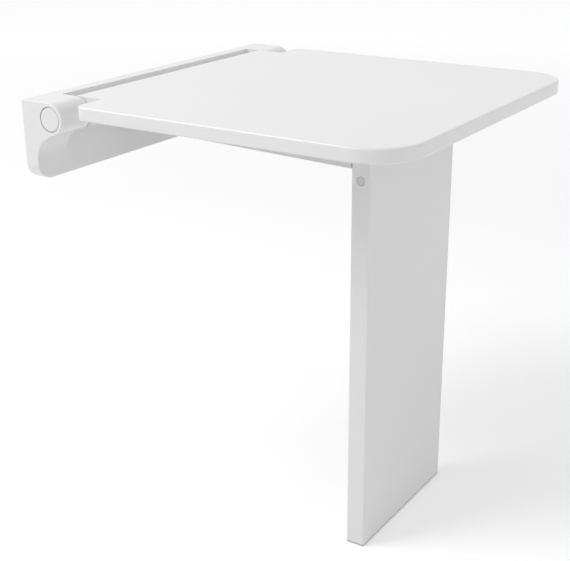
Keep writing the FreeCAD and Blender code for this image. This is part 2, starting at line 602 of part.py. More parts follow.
def build_lock_screws():
    """Two set screws from below that press on the plate's lower edge."""
    body = new_body("bracket_lock_screws")
    tip, base = f"-{PLATE_TOP}", f"(-{PLATE_TOP} - Sizes.lock_screw_length)"
    radius = "Sizes.lock_screw_radius"
    place = (LOCK_X, "-Sizes.lock_screw_setback")
    screw = turned(body, "Revolution", "Z", [
        (base, "0"), (base, radius), (f"{tip} - Sizes.lock_screw_tip", radius),
        (tip, f"{radius} - Sizes.lock_screw_tip"), (tip, "0"),
    ], *place)
    socket = slab(body, "Pocket", "XY", f"{base} - {PAST}", f"{base} + Sizes.lock_key_depth",
                  lambda s: hexagon(s, *place, "Sizes.lock_key"))
    mirrored(body, [screw, socket])


def build_stop_buffers():
    """Two rubber stops on the bracket that the frame's heels rest on."""
    body = new_body("stop_buffers")
    stem_end = f"({FRONT} + Sizes.stop_stem)"
    buffer = turned(body, "Revolution", "Y", [
        (STOP_FACE, "0"), (STOP_FACE, "Sizes.stop_radius - Sizes.stop_bevel"),
        (f"{STOP_FACE} + Sizes.stop_bevel", "Sizes.stop_radius"),
        (FRONT, "Sizes.stop_radius"), (FRONT, "Sizes.stem_radius"),
        (stem_end, "Sizes.stem_radius"), (stem_end, "0"),
    ], x=STOP_X, z=STOP_Z)
    mirrored(body, [buffer])


def build_hinge_side(side, name):
    """Bush, pin, spring washers, plug and cover of the hinge at one end."""
    place = {"y": AXIS_Y, "z": AXIS_Z}

    def across(text):
        return f"{side} * ({text})"

    flange = f"({BARREL_END} + Sizes.side_play)"
    bush = new_body(f"knuckle_bush_{name}")
    turned(bush, "Revolution", "X", [(across(x), r) for x, r in (
        (CHAMBER_END, PIN_BORE), (CHAMBER_END, KNUCKLE_BUSH), (KNUCKLE_IN, KNUCKLE_BUSH),
        (KNUCKLE_IN, "Sizes.bush_flange_radius"), (flange, "Sizes.bush_flange_radius"),
        (flange, PIN_BORE),
    )], **place)

    head_out = f"({CAP_SEAT} - Sizes.pin_head_setback)"
    head_in = f"({head_out} - Sizes.pin_head_length)"
    thread_end = f"({TUBE_END} - Sizes.pin_thread_length)"
    pin = new_body(f"hinge_pin_{name}")
    turned(pin, "Revolution", "X", [(across(x), r) for x, r in (
        (head_out, "0"), (head_out, "Sizes.pin_head_radius - Sizes.pin_head_bevel"),
        (f"{head_out} - Sizes.pin_head_bevel", "Sizes.pin_head_radius"),
        (head_in, "Sizes.pin_head_radius"), (head_in, "Sizes.pin_radius"),
        (TUBE_END, "Sizes.pin_radius"), (TUBE_END, "Sizes.pin_thread_radius"),
        (thread_end, "Sizes.pin_thread_radius"), (thread_end, "0"),
    )], **place)
    slab(pin, "Pocket", "YZ", across(f"{head_out} - Sizes.pin_key_depth"),
         across(f"{head_out} + {PAST}"), lambda s: hexagon(s, AXIS_Y, AXIS_Z, "Sizes.pin_key"))

    washers = new_body(f"spring_washers_{name}")
    stack = f"({head_in} - {CHAMBER_END})"
    thick = "Sizes.washer_thickness"
    inner_edge = "(Sizes.pin_radius + Sizes.seat_clearance)"
    outer_edge = "(Sizes.pin_head_radius - Sizes.seat_clearance)"
    rests = ((f"({CHAMBER_END} + Sizes.side_play)", 1), (f"({head_in} - Sizes.slip_play)", -1))
    for x, towards in rests:
        cone = f"{towards} * ({stack} / 2 - {thick} - Sizes.seat_clearance)"
        turned(washers, "Revolution", "X", [(across(along), r) for along, r in (
            (x, outer_edge), (f"{x} + {towards} * {thick}", outer_edge),
            (f"{x} + {towards} * {thick} + {cone}", inner_edge), (f"{x} + {cone}", inner_edge),
        )], **place)

    plug = new_body(f"hinge_plug_{name}")
    end, tapped_end = f"({TUBE_END} - Sizes.plug_length)", f"({thread_end} - Sizes.thread_room)"
    tapped = "(Sizes.pin_thread_radius + Sizes.running_play)"
    turned(plug, "Revolution", "X", [(across(x), r) for x, r in (
        (TUBE_END, tapped), (TUBE_END, TUBE_BORE), (end, TUBE_BORE), (end, "0"),
        (tapped_end, "0"), (tapped_end, tapped),
    )], **place)
    slab(plug, "Pocket", "XY", f"{AXIS_Z} - {TUBE_RADIUS}", AXIS_Z,
         lambda s: circle(s, across(TUBE_LOCK), AXIS_Y, LOCK_HOLE))

    cap = new_body(f"hinge_cap_{name}")
    face = f"({HALF} - Sizes.slip_play)"
    relief, clip_end = f"({CAP_SEAT} + Sizes.cap_relief)", f"({CAP_SEAT} - Sizes.cap_clip)"
    clip_out = f"({CHAMBER_RADIUS} - Sizes.slip_play)"
    clip_in = "(Sizes.pin_head_radius + Sizes.seat_clearance)"
    turned(cap, "Revolution", "X", [(across(x), r) for x, r in (
        (face, "0"), (face, "Sizes.cap_radius - Sizes.cap_bevel"),
        (f"{face} - Sizes.cap_bevel", "Sizes.cap_radius"), (CAP_SEAT, "Sizes.cap_radius"),
        (CAP_SEAT, clip_out), (clip_end, clip_out), (clip_end, clip_in), (relief, clip_in),
        (relief, "0"),
    )], **place)


def build_hinge_tube():
    """Steel tube that carries the seat inside its barrel."""
    body = new_body("hinge_tube")

    def ring(sketch):
        circle(sketch, AXIS_Y, AXIS_Z, TUBE_RADIUS)
        circle(sketch, AXIS_Y, AXIS_Z, TUBE_BORE)

    slab(body, "Pad", "YZ", f"-{TUBE_END}", TUBE_END, ring)

    def lock_holes(sketch):
        for x in both_ways(TUBE_LOCK):
            circle(sketch, x, AXIS_Y, LOCK_HOLE)

    slab(body, "Pocket", "XY", f"{AXIS_Z} - {TUBE_RADIUS} - {PAST}", AXIS_Z, lock_holes)


def build_seat_board():
    """Moulded board with its hinge barrel, ribbed below round the pad that the frame is screwed to."""
    body = new_body("seat_board")
    slab(body, "Pad", "XY", UNDER, TOP,
         lambda s: rectangle(s, f"-{SEAT_HALF}", SEAT_HALF, SEAT_FRONT, SEAT_REAR))
    side = number(SEAT_HALF)
    for place, radius in ((SEAT_FRONT, "Sizes.front_corner"), (SEAT_REAR, "Sizes.rear_corner")):
        y = number(place)
        rounded(body, radius,
                lambda e, y=y: runs_along(e, "Z", side, y) or runs_along(e, "Z", -side, y))
    for level, radius in ((TOP, "Sizes.top_round"), (UNDER, "Sizes.under_round")):
        z = number(level)
        rounded(body, radius, lambda e, z=z: lies_on(e, "Z", z))
    add_board_ribs(body)
    gap = "Sizes.seat_clearance"
    slab(body, "Pad", "YZ", f"-{BARREL_END}", BARREL_END,
         lambda s: barrel_profile(s, f"{AXIS_Y} - Sizes.barrel_root", False))
    ramp = slab(body, "Pad", "YZ", f"{LEG_HALF} + {gap}", BARREL_END,
                lambda s: barrel_profile(s, f"{AXIS_Y} - Sizes.ramp_reach", True))
    mirrored(body, [ramp])
    slab(body, "Pocket", "YZ", f"-{BARREL_END} - {PAST}", f"{BARREL_END} + {PAST}",
         lambda s: circle(s, AXIS_Y, AXIS_Z, f"{TUBE_RADIUS} + Sizes.running_play"))
    inner, outer = f"{LEG_HALF} - Sizes.frame_sheet - {gap}", f"{LEG_HALF} + {gap}"
    eye = slab(body, "Pocket", "YZ", inner, outer,
               lambda s: circle(s, AXIS_Y, AXIS_Z, f"{EYE_RADIUS} + {gap}"))
    web = slab(body, "Pocket", "YZ", inner, outer,
               lambda s: rectangle(s, f"{FRAME_REAR} - 2", "0", "-Sizes.barrel_radius", UNDER))
    mirrored(body, [eye, web])

    def insert_holes(sketch):
        for x in both_ways(SCREW_X):
            circle(sketch, x, SCREW_Y, "Sizes.insert_radius")

    first = slab(body, "Pocket", "XY", f"{UNDER} - {PAST}",
                 f"{UNDER} + Sizes.insert_length + Sizes.end_room", insert_holes)
    repeated(body, [first])

    def lock_holes(sketch):
        for x in both_ways(TUBE_LOCK):
            circle(sketch, x, AXIS_Y, "Sizes.lock_screw_radius + Sizes.tube_lock_room")

    slab(body, "Pocket", "XY", f"{AXIS_Z} - Sizes.barrel_radius - {PAST}", AXIS_Z, lock_holes)


def add_board_ribs(body):
    """Hollow the board from below inside a rim, and fill in the pad and a grid of ribs."""
    side = f"({SEAT_HALF} - Sizes.rim_width)"
    front, rear = f"({SEAT_FRONT} + Sizes.rim_width)", f"({AXIS_Y} - Sizes.ramp_reach - Sizes.rim_width)"
    corner = "(Sizes.front_corner - Sizes.rim_width)"
    ceiling = f"({UNDER} + Sizes.rib_height)"

    def hollow(sketch):
        x, low, high, round_ = number(side), number(front), number(rear), number(corner)
        back = line(sketch, (-x, high), (x, high))
        right = line(sketch, (x, high), (x, low + round_))
        right_arc = arc(sketch, f"{side} - {corner}", f"{front} + {corner}", corner, 270, 360)
        ahead = line(sketch, (x - round_, low), (round_ - x, low))
        left_arc = arc(sketch, f"-{side} + {corner}", f"{front} + {corner}", corner, 180, 270)
        left = line(sketch, (-x, low + round_), (-x, high))
        for rule in (("Coincident", back, 2, right, 1), ("Tangent", right, 2, right_arc, 2),
                     ("Tangent", right_arc, 1, ahead, 1), ("Tangent", ahead, 2, left_arc, 2),
                     ("Tangent", left_arc, 1, left, 1), ("Coincident", left, 2, back, 1)):
            sketch.addConstraint(Sketcher.Constraint(*rule))
        pin_point(sketch, back, 1, f"-{side}", rear)
        pin_point(sketch, back, 2, side, rear)

    slab(body, "Pocket", "XY", f"{UNDER} - {PAST}", ceiling, hollow)
    pad = f"({LEG_HALF} + Sizes.pad_margin)"
    slab(body, "Pad", "XY", UNDER, f"{ceiling} + Sizes.weld_depth", lambda s: rectangle(
        s, f"-{pad}", pad, f"{FRAME_FRONT} - Sizes.pad_margin", f"{rear} + Sizes.weld_depth"))
    half_rib = "Sizes.rib_thickness / 2"

    def reach(limit, place, straight):
        """How far a rib runs before it meets the rim, rounded at the front corners."""
        past = f"max(0; {place} - ({straight} - {corner}))"
        return f"({limit} - {corner} + sqrt({corner}^2 - {past}^2) + Sizes.weld_depth)"

    def rows(sketch):
        for step in range(1, RIB_ROWS):
            y = f"({rear} + ({front} - {rear}) * {step} / {RIB_ROWS})"
            end = reach(side, f"-{y}", f"-{front}")
            rectangle(sketch, f"-{end}", end, f"{y} - {half_rib}", f"{y} + {half_rib}")

    def columns(sketch):
        for step in range(1, RIB_COLUMNS):
            x = f"({side} * {2 * step - RIB_COLUMNS} / {RIB_COLUMNS})"
            end = reach(f"-{front}", f"abs({x})", side)
            rectangle(sketch, f"{x} - {half_rib}", f"{x} + {half_rib}", f"-{end}",
                      f"{rear} + Sizes.weld_depth")

    for grid in (rows, columns):
        slab(body, "Pad", "XY", f"{UNDER} + Sizes.rib_setback", f"{ceiling} + Sizes.weld_depth", grid)


def build_under_frame():
    """Folded and welded steel frame: top plate, two tapering sides with eyes, two lugs."""
    body = new_body("under_frame")
    slab(body, "Pad", "XY", FRAME_UNDER, UNDER,
         lambda s: rectangle(s, f"-{LEG_HALF}", LEG_HALF, FRAME_FRONT, FRAME_REAR))
    half, y = number(LEG_HALF), number(FRAME_FRONT)
    rounded(body, "Sizes.frame_corner",
            lambda e: runs_along(e, "Z", half, y) or runs_along(e, "Z", -half, y))

    def side_outline(sketch):
        weld = f"{FRAME_UNDER} + Sizes.weld_depth"
        polygon(sketch, [
            (SIDE_FRONT, weld), (SIDE_FRONT, SIDE_LOW), (HEEL_Y, HEEL_LOW),
            (HEEL_Y, f"{HEEL_LOW} + Sizes.heel_rise"), (f"{AXIS_Y} + {EYE_RADIUS}", AXIS_Z),
            (FRAME_REAR, weld),
        ])

    inner = f"({LEG_HALF} - Sizes.frame_sheet)"
    side = slab(body, "Pad", "YZ", inner, LEG_HALF, side_outline)
    eye = slab(body, "Pad", "YZ", inner, LEG_HALF,
               lambda s: circle(s, AXIS_Y, AXIS_Z, EYE_RADIUS))

    def lug_outline(sketch):
        wide, wider = LUG_RADIUS, f"({LUG_RADIUS} + Sizes.lug_flare)"
        polygon(sketch, [
            (f"{PIN_Y} - {wide}", PIN_Z), (f"{PIN_Y} + {wide}", PIN_Z),
            (f"{PIN_Y} + {wide}", f"{FRAME_UNDER} - Sizes.lug_flare"),
            (f"{PIN_Y} + {wider}", FRAME_UNDER), (f"{PIN_Y} - {wider}", FRAME_UNDER),
            (f"{PIN_Y} - {wide}", f"{FRAME_UNDER} - Sizes.lug_flare"),
        ])

    lug = slab(body, "Pad", "YZ", LUG_IN, LUG_OUT, lug_outline)
    lug_eye = slab(body, "Pad", "YZ", LUG_IN, LUG_OUT,
                   lambda s: circle(s, PIN_Y, PIN_Z, LUG_RADIUS))
    mirrored(body, [side, eye, lug, lug_eye])
    ends = (f"-{LEG_HALF} - {PAST}", f"{LEG_HALF} + {PAST}")
    slab(body, "Pocket", "YZ", *ends,
         lambda s: circle(s, AXIS_Y, AXIS_Z, f"{TUBE_RADIUS} + Sizes.running_play"))
    slab(body, "Pocket", "YZ", *ends, lambda s: circle(s, PIN_Y, PIN_Z, LUG_BUSH))

    def screw_holes(sketch):
        for x in both_ways(SCREW_X):
            circle(sketch, x, SCREW_Y, "Sizes.board_screw_radius + Sizes.seat_clearance")

    first = slab(body, "Pocket", "XY", f"{FRAME_UNDER} - {PAST}", f"{UNDER} + {PAST}", screw_holes)
    repeated(body, [first])


def build_cross_member():
    """Channel welded between the frame's sides, which carries the buffers for the leg."""
    body = new_body("cross_member")
    rear, front = CROSS_REAR, f"({CROSS_REAR} - Sizes.cross_width)"
    wall = "Sizes.frame_sheet"
    end = f"({LEG_HALF} - Sizes.frame_sheet)"

    def outline(sketch):
        polygon(sketch, [
            (front, FRAME_UNDER), (front, CROSS_LOW), (rear, CROSS_LOW), (rear, FRAME_UNDER),
            (f"{rear} - {wall}", FRAME_UNDER), (f"{rear} - {wall}", f"{CROSS_LOW} + {wall}"),
            (f"{front} + {wall}", f"{CROSS_LOW} + {wall}"), (f"{front} + {wall}", FRAME_UNDER),
        ])

    slab(body, "Pad", "YZ", f"-{end}", end, outline)

    def buffer_holes(sketch):
        for x in both_ways("Sizes.buffer_span / 2"):
            circle(sketch, x, BUFFER_Y, "Sizes.stem_radius + Sizes.running_play")

    slab(body, "Pocket", "XY", f"{CROSS_LOW} - {PAST}", f"{CROSS_LOW} + {wall} + {PAST}", buffer_holes)


def build_fold_buffers():
    """Rubber buffers under the cross member that the folded leg comes to rest on."""
    body = new_body("fold_buffers")
    neck = f"({CROSS_LOW} + Sizes.frame_sheet)"
    stem_end = f"({neck} + Sizes.buffer_stem)"
    buffer = turned(body, "Revolution", "Z", [
        (BUFFER_TIP, "0"), (BUFFER_TIP, "Sizes.buffer_radius - Sizes.buffer_bevel"),
        (f"{BUFFER_TIP} + Sizes.buffer_bevel", "Sizes.buffer_radius"),
        (CROSS_LOW, "Sizes.buffer_radius"), (CROSS_LOW, "Sizes.stem_radius"),
        (neck, "Sizes.stem_radius"), (neck, "Sizes.stem_radius + Sizes.barb"),
        (stem_end, "Sizes.stem_radius - Sizes.barb_taper"), (stem_end, "0"),
    ], x="Sizes.buffer_span / 2", y=BUFFER_Y)
    mirrored(body, [buffer])


def build_frame_screws():
    """Eight pan-head screws that hold the frame to the board, and their threaded inserts."""
    screws = new_body("frame_screws")
    tip = f"({UNDER} + Sizes.insert_length - Sizes.end_room)"
    head, face = "Sizes.board_head_radius", f"({FRAME_UNDER} - Sizes.board_head_height)"
    radius = "Sizes.board_screw_radius"
    features = []
    for x in both_ways(SCREW_X):
        features.append(turned(screws, "Revolution", "Z", [
            (face, "0"), (face, f"{head} - Sizes.board_head_bevel"),
            (f"{face} + Sizes.board_head_bevel", head), (FRAME_UNDER, head), (FRAME_UNDER, radius),
            (f"{tip} - Sizes.board_screw_tip", radius), (tip, f"{radius} - Sizes.board_screw_tip"),
            (tip, "0"),
        ], x=x, y=SCREW_Y))
        features.append(slab(
            screws, "Pocket", "XY", f"{face} - {PAST}", f"{face} + Sizes.board_key_depth",
            lambda s, x=x: hexagon(s, x, SCREW_Y, "Sizes.board_key")))
    repeated(screws, features)

    inserts = new_body("board_inserts")
    top, bore = f"{UNDER} + Sizes.insert_length", f"{radius} + Sizes.running_play"
    rings = [turned(inserts, "Revolution", "Z", [
        (UNDER, bore), (UNDER, "Sizes.insert_radius"), (top, "Sizes.insert_radius"), (top, bore),
    ], x=x, y=SCREW_Y) for x in both_ways(SCREW_X)]
    repeated(inserts, rings)


def build_tube_lock_screws():
    """Two set screws from below that lock board, tube and plugs together."""
    body = new_body("tube_lock_screws")
    low = f"({AXIS_Z} - {TUBE_RADIUS} - Sizes.tube_lock_proud)"
    high = f"({AXIS_Z} - Sizes.pin_thread_radius - Sizes.tube_lock_gap)"
    screw = turned(body, "Revolution", "Z", [
        (low, "0"), (low, "Sizes.lock_screw_radius"), (high, "Sizes.lock_screw_radius"), (high, "0"),
    ], x=TUBE_LOCK, y=AXIS_Y)
    socket = slab(body, "Pocket", "XY", f"{low} - {PAST}", f"{low} + Sizes.lock_key_depth",
                  lambda s: hexagon(s, TUBE_LOCK, AXIS_Y, "Sizes.lock_key"))
    mirrored(body, [screw, socket])


def build_lug_bushes(side, name):
    """Plastic bush in a lug's eye, with a flange that keeps the leg's side wall off the lug."""
    body = new_body(f"lug_bush_{name}")
    flange = f"({LUG_OUT} + Sizes.lug_inset - Sizes.seat_clearance)"
    rim = f"{LUG_RADIUS} - Sizes.side_play"
    turned(body, "Revolution", "X", [(f"{side} * ({x})", r) for x, r in (
        (LUG_IN, LEG_PIN_BORE), (LUG_IN, LUG_BUSH), (LUG_OUT, LUG_BUSH), (LUG_OUT, rim),
        (flange, rim), (flange, LEG_PIN_BORE),
    )], y=PIN_Y, z=PIN_Z)


def leg_section(body, kind, low, high):
    """The leg's outline with its rounded long edges, between two heights."""
    slab(body, kind, "XY", low, high,
         lambda s: rectangle(s, f"-{LEG_HALF}", LEG_HALF, LEG_FRONT, LEG_REAR))
    half = number(LEG_HALF)
    places = [(x, number(y)) for x in (-half, half) for y in (LEG_FRONT, LEG_REAR)]
    rounded(body, "Sizes.leg_corner", lambda e: any(runs_along(e, "Z", x, y) for x, y in places))


def inside_chambers(sketch, steps, play):
    """Rectangles that fill the given chambers of the leg but for some play."""
    for step in steps:
        middle = f"({step} * {CHAMBER_PITCH})"
        rectangle(sketch, f"{middle} - {CHAMBER_WIDTH} / 2 + {play}",
                  f"{middle} + {CHAMBER_WIDTH} / 2 - {play}",
                  f"{PIN_Y} - {CHAMBER_DEPTH} / 2 + {play}", f"{PIN_Y} + {CHAMBER_DEPTH} / 2 - {play}")


def build_leg_panel():
    """Extruded hollow leg with chambers across, notched for the lugs and slotted for the foot."""
    body = new_body("leg_panel")
    leg_section(body, "Pad", LEG_END, LEG_TOP)
    outermost = (CHAMBERS - 1) // 2
    slab(body, "Pocket", "XY", f"{LEG_END} - {PAST}", f"{LEG_TOP} + {PAST}",
         lambda s: inside_chambers(s, range(-outermost, outermost + 1), "0"))
    wide, narrow = "Sizes.leg_pin_radius + Sizes.leg_pin_fit", "Sizes.leg_pin_neck + Sizes.leg_pin_fit"
    shoulder = f"{OUTER_WEB} + Sizes.leg_web"
    bore = turned(body, "Groove", "X", [
        (f"{LEG_HALF} + {PAST}", "0"), (f"{LEG_HALF} + {PAST}", wide),
        (f"{shoulder} + {PAST}", wide), (f"{shoulder} + {PAST}", narrow),
        (f"{OUTER_WEB} - {PAST}", narrow), (f"{OUTER_WEB} - {PAST}", "0"),
    ], y=PIN_Y, z=PIN_Z)
    rear_wall = (f"{LEG_REAR} - Sizes.leg_wall - {PAST}", f"{LEG_REAR} + {PAST}")
    room = "Sizes.lug_play"
    notch = slab(body, "Pocket", "XZ", *rear_wall, lambda s: rectangle(
        s, f"{LUG_IN} - {room}", f"{LUG_OUT} + {room}", f"{PIN_Z} - {LUG_RADIUS} - {room}",
        f"{LEG_TOP} + {PAST}"))
    slot = slab(body, "Pocket", "XZ", *rear_wall, lambda s: upright_slot(
        s, CLAMP_X, f"{CLAMP_Z} - Sizes.foot_travel", CLAMP_Z,
        "(Sizes.clamp_radius + Sizes.seat_clearance)"))
    mirrored(body, [bore, notch, slot])


def build_leg_pins(side, name):
    """Pin that joins the leg to a lug, flush with the leg's side."""
    body = new_body(f"leg_pin_{name}")
    radius, bevel = "Sizes.leg_pin_radius", "Sizes.leg_pin_bevel"
    shoulder = f"({OUTER_WEB} + Sizes.leg_web)"
    groove_end = f"({LEG_PIN_GROOVE} - Sizes.clip_thickness - Sizes.slip_play)"
    end = f"({groove_end} - Sizes.leg_pin_end)"
    neck, slim = "Sizes.leg_pin_neck", "(Sizes.leg_pin_neck - Sizes.clip_groove)"
    turned(body, "Revolution", "X", [(f"{side} * ({x})", r) for x, r in (
        (LEG_HALF, "0"), (LEG_HALF, f"{radius} - {bevel}"), (f"{LEG_HALF} - {bevel}", radius),
        (shoulder, radius), (shoulder, neck), (LEG_PIN_GROOVE, neck), (LEG_PIN_GROOVE, slim),
        (groove_end, slim), (groove_end, neck), (end, neck), (end, "0"),
    )], y=PIN_Y, z=PIN_Z)


def build_pin_clips():
    """Spring clips in the grooves of both leg pins."""
    body = new_body("pin_clips")
    near = f"({LEG_PIN_GROOVE} - Sizes.clip_thickness)"
    outside = "(Sizes.leg_pin_neck + Sizes.clip_proud)"
    inside = "(Sizes.leg_pin_neck - Sizes.clip_groove + Sizes.running_play)"

    def ring(sketch):
        circle(sketch, PIN_Y, PIN_Z, outside)
        circle(sketch, PIN_Y, PIN_Z, inside)

    clip = slab(body, "Pad", "YZ", near, LEG_PIN_GROOVE, ring)
    mouth = slab(body, "Pocket", "YZ", f"{near} - {PAST}", f"{LEG_PIN_GROOVE} + {PAST}",
                 lambda s: rectangle(s, f"{PIN_Y} - {inside}", f"{PIN_Y} + {inside}",
                                     f"{PIN_Z} + Sizes.clip_mouth", f"{PIN_Z} + {outside} + {PAST}"))
    mirrored(body, [clip, mouth])


def build_leg_top_cap():
    """Plug that closes the leg's middle chambers at the top."""
    body = new_body("leg_top_cap")
    half = f"({OUTER_WEB} + Sizes.leg_web)"
    slab(body, "Pad", "XY", LEG_TOP, f"{LEG_TOP} + Sizes.top_cap",
         lambda s: rectangle(s, f"-{half}", half, LEG_FRONT, LEG_REAR))
    slab(body, "Pad", "XY", f"{LEG_TOP} - Sizes.top_cap_plug", LEG_TOP,
         lambda s: inside_chambers(s, (-1, 0, 1), "Sizes.finger_play"))


def build_foot():
    """Foot plug with its rubber sole, clamp screws and threaded inserts."""
    body = new_body("foot_insert")
    low = f"({LEG_END} - Sizes.foot_plate)"
    face = f"({PIN_Y} + {CHAMBER_DEPTH} / 2 - Sizes.finger_play)"
    insert_end = f"({face} - Sizes.clamp_insert_length)"
    leg_section(body, "Pad", low, LEG_END)
    slab(body, "Pad", "XY", LEG_END, f"{LEG_END} + Sizes.finger_height",
         lambda s: inside_chambers(s, (-2, 0, 2), "Sizes.finger_play"))

    def sole_outline(sketch, inset):
        rectangle(sketch, f"-{LEG_HALF} + {inset}", f"{LEG_HALF} - {inset}",
                  f"{LEG_FRONT} + {inset}", f"{LEG_REAR} - {inset}")

    slab(body, "Pocket", "XY", f"{low} - {PAST}", f"{low} + Sizes.sole_recess",
         lambda s: sole_outline(s, "Sizes.sole_inset"))

    def insert_holes(sketch):
        for x in both_ways(CLAMP_X):
            circle(sketch, x, CLAMP_Z, CLAMP_INSERT)

    slab(body, "Pocket", "XZ", f"{insert_end} - Sizes.clamp_room", f"{face} + {PAST}", insert_holes)

    sole = new_body("foot_pad")
    slab(sole, "Pad", "XY", f"{low} - Sizes.sole_proud", f"{low} + Sizes.sole_recess",
         lambda s: sole_outline(s, "(Sizes.sole_inset + Sizes.slip_play)"))

    screws = new_body("foot_clamp_screws")
    radius, head, bevel = "Sizes.clamp_radius", "Sizes.clamp_head_radius", "Sizes.clamp_head_bevel"
    crown = f"({LEG_REAR} + Sizes.clamp_head_height)"
    tip = f"({insert_end} - Sizes.end_room)"
    screw = turned(screws, "Revolution", "Y", [
        (crown, "0"), (crown, f"{head} - {bevel}"), (f"{crown} - {bevel}", head),
        (LEG_REAR, head), (LEG_REAR, radius), (tip, radius), (tip, "0"),
    ], x=CLAMP_X, z=CLAMP_Z)
    socket = slab(screws, "Pocket", "XZ", f"{crown} - Sizes.clamp_key_depth", f"{crown} + {PAST}",
                  lambda s: hexagon(s, CLAMP_X, CLAMP_Z, "Sizes.clamp_key"))
    mirrored(screws, [screw, socket])

    inserts = new_body("clamp_inserts")
    bore = f"{radius} + Sizes.running_play"
    ring = turned(inserts, "Revolution", "Y", [
        (face, bore), (face, CLAMP_INSERT), (insert_end, CLAMP_INSERT), (insert_end, bore),
    ], x=CLAMP_X, z=CLAMP_Z)
    mirrored(inserts, [ring])


def finish():
    """Check every object and write each sub-part."""
    doc.recompute()
    for item in doc.Objects:
        if "Invalid" in item.State or "Error" in item.State:
            raise RuntimeError(f"{item.Label} failed: {item.State}")
    os.makedirs("parts", exist_ok=True)
    for body in bodies:
        if body.Shape.isNull() or not body.Shape.isValid():
            raise RuntimeError(f"{body.Label} has no valid shape")
        body.Shape.exportStep(os.path.join("parts", f"{body.Label}.step"))


build_wall_bracket()
build_fixing_plate()
build_lock_screws()
build_stop_buffers()
for side, name in ((-1, "left"), (1, "right")):
    build_hinge_side(side, name)
    build_lug_bushes(side, name)
    build_leg_pins(side, name)
build_hinge_tube()
build_tube_lock_screws()
build_seat_board()
build_under_frame()
build_cross_member()
build_fold_buffers()
build_frame_screws()
build_leg_panel()
build_pin_clips()
build_leg_top_cap()
build_foot()
finish()
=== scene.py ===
import json
import math

import bpy
from mathutils import Matrix, Vector


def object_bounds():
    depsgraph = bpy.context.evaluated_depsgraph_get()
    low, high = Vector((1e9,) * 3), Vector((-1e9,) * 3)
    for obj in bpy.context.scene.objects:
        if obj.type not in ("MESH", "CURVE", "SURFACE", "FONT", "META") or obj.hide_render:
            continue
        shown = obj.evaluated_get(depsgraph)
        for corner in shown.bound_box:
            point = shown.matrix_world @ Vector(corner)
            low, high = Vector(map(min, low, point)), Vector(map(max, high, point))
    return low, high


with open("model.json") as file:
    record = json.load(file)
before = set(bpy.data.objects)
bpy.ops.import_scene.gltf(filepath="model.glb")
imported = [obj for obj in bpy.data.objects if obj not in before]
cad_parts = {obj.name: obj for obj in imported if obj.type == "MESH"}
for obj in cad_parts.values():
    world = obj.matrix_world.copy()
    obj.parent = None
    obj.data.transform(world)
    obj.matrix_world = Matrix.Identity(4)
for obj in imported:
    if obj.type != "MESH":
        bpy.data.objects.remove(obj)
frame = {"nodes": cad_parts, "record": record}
cad_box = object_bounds()
nodes = frame["nodes"]
scene = bpy.context.scene

# Camera: place, direction and view angle of the photograph
CAMERA_PLACE = Vector((-1.0532, -0.8831, 0.2862))
CAMERA_AZIMUTH = math.radians(-56.67)
CAMERA_ELEVATION = math.radians(20.89)
CAMERA_ROLL = math.radians(-0.45)
FOCAL_PIXELS = 1116.97
IMAGE_WIDTH = 570
SENSOR_WIDTH = 36.0

# Noise: the stretch of its values that a tone or a gloss is spread over
NOISE_LOW = 0.3
NOISE_HIGH = 0.7

# White coats: tone, roughness and waves a metre of each
WHITE_COATS = {
    "white_bracket": (0.86, 0.38, 420.0),
    "white_cap": (0.85, 0.34, 700.0),
    "white_board": (0.87, 0.36, 600.0),
    "white_leg": (0.85, 0.4, 420.0),
    # white_frame's lower tone is painted shade for the frame deep under the seat
    "white_frame": (0.79, 0.42, 420.0),
}

# White coats: patches in the tone, fine waves in the surface, and the clear film on top
PATCH_SCALE = 9.0
PATCH_SHADE = 0.985
PEEL_DETAIL = 3.0
PEEL_GLOSS = 0.04
PEEL_HEIGHT = 0.00005
PEEL_STRENGTH = 0.25
COAT_WEIGHT = 0.5
COAT_ROUGHNESS = 0.08

# Painted shade of the groove round the hinge covers: start and full radii in metres, share of tone
GROOVE_START = 0.0117
GROOVE_END = 0.0125
GROOVE_SHADE = 0.8

# Stretch of a grain along the axes, the same each way or drawn out as on brushed metal
EVEN = (1.0, 1.0, 1.0)
BRUSHED = (1.0, 0.08, 1.0)

# Other finishes: tone, roughness, share of metal, grains a metre and their stretch
OTHER_FINISHES = {
    "steel": ((0.45, 0.45, 0.46), 0.34, 1.0, 900.0, BRUSHED),
    "alloy": ((0.75, 0.75, 0.76), 0.4, 1.0, 700.0, EVEN),
    "bush_plastic": ((0.7, 0.69, 0.66), 0.45, 0.0, 500.0, EVEN),
    "foot_plastic": ((0.62, 0.62, 0.62), 0.5, 0.0, 600.0, EVEN),
    "rubber": ((0.09, 0.09, 0.092), 0.75, 0.0, 900.0, EVEN),
    "sole_rubber": ((0.08, 0.08, 0.082), 0.8, 0.0, 900.0, EVEN),
    "brass": ((0.72, 0.52, 0.2), 0.35, 1.0, 700.0, EVEN),
}

# Other finishes: how far the grain shows in tone, gloss and surface
GRAIN_DETAIL = 4.0
GRAIN_SHADE = 0.88
GRAIN_GLOSS_BELOW = 0.06
GRAIN_GLOSS_ABOVE = 0.08
GRAIN_HEIGHT = 0.00004
GRAIN_STRENGTH = 0.2

# Floor: size in metres, finish, and its glow as metres from the origin and strength there
FLOOR_SIZE = 12.0
FLOOR_TONE = 0.93
FLOOR_GRAIN_SCALE = 40.0
FLOOR_GRAIN_SHADE = 0.99
FLOOR_ROUGHNESS = 0.9
FLOOR_SPECULAR = 0.1
NEAR_GLOW = (1.2, 0.28)
FAR_GLOW = (3.5, 0.45)

# Surroundings: their light on the object as a share of white, and the rays that see them white
WORLD_LEVEL = 0.53
WHITE = (1.0, 1.0, 1.0, 1.0)
SEEN_RAYS = ("Is Camera Ray", "Is Glossy Ray", "Is Transmission Ray")

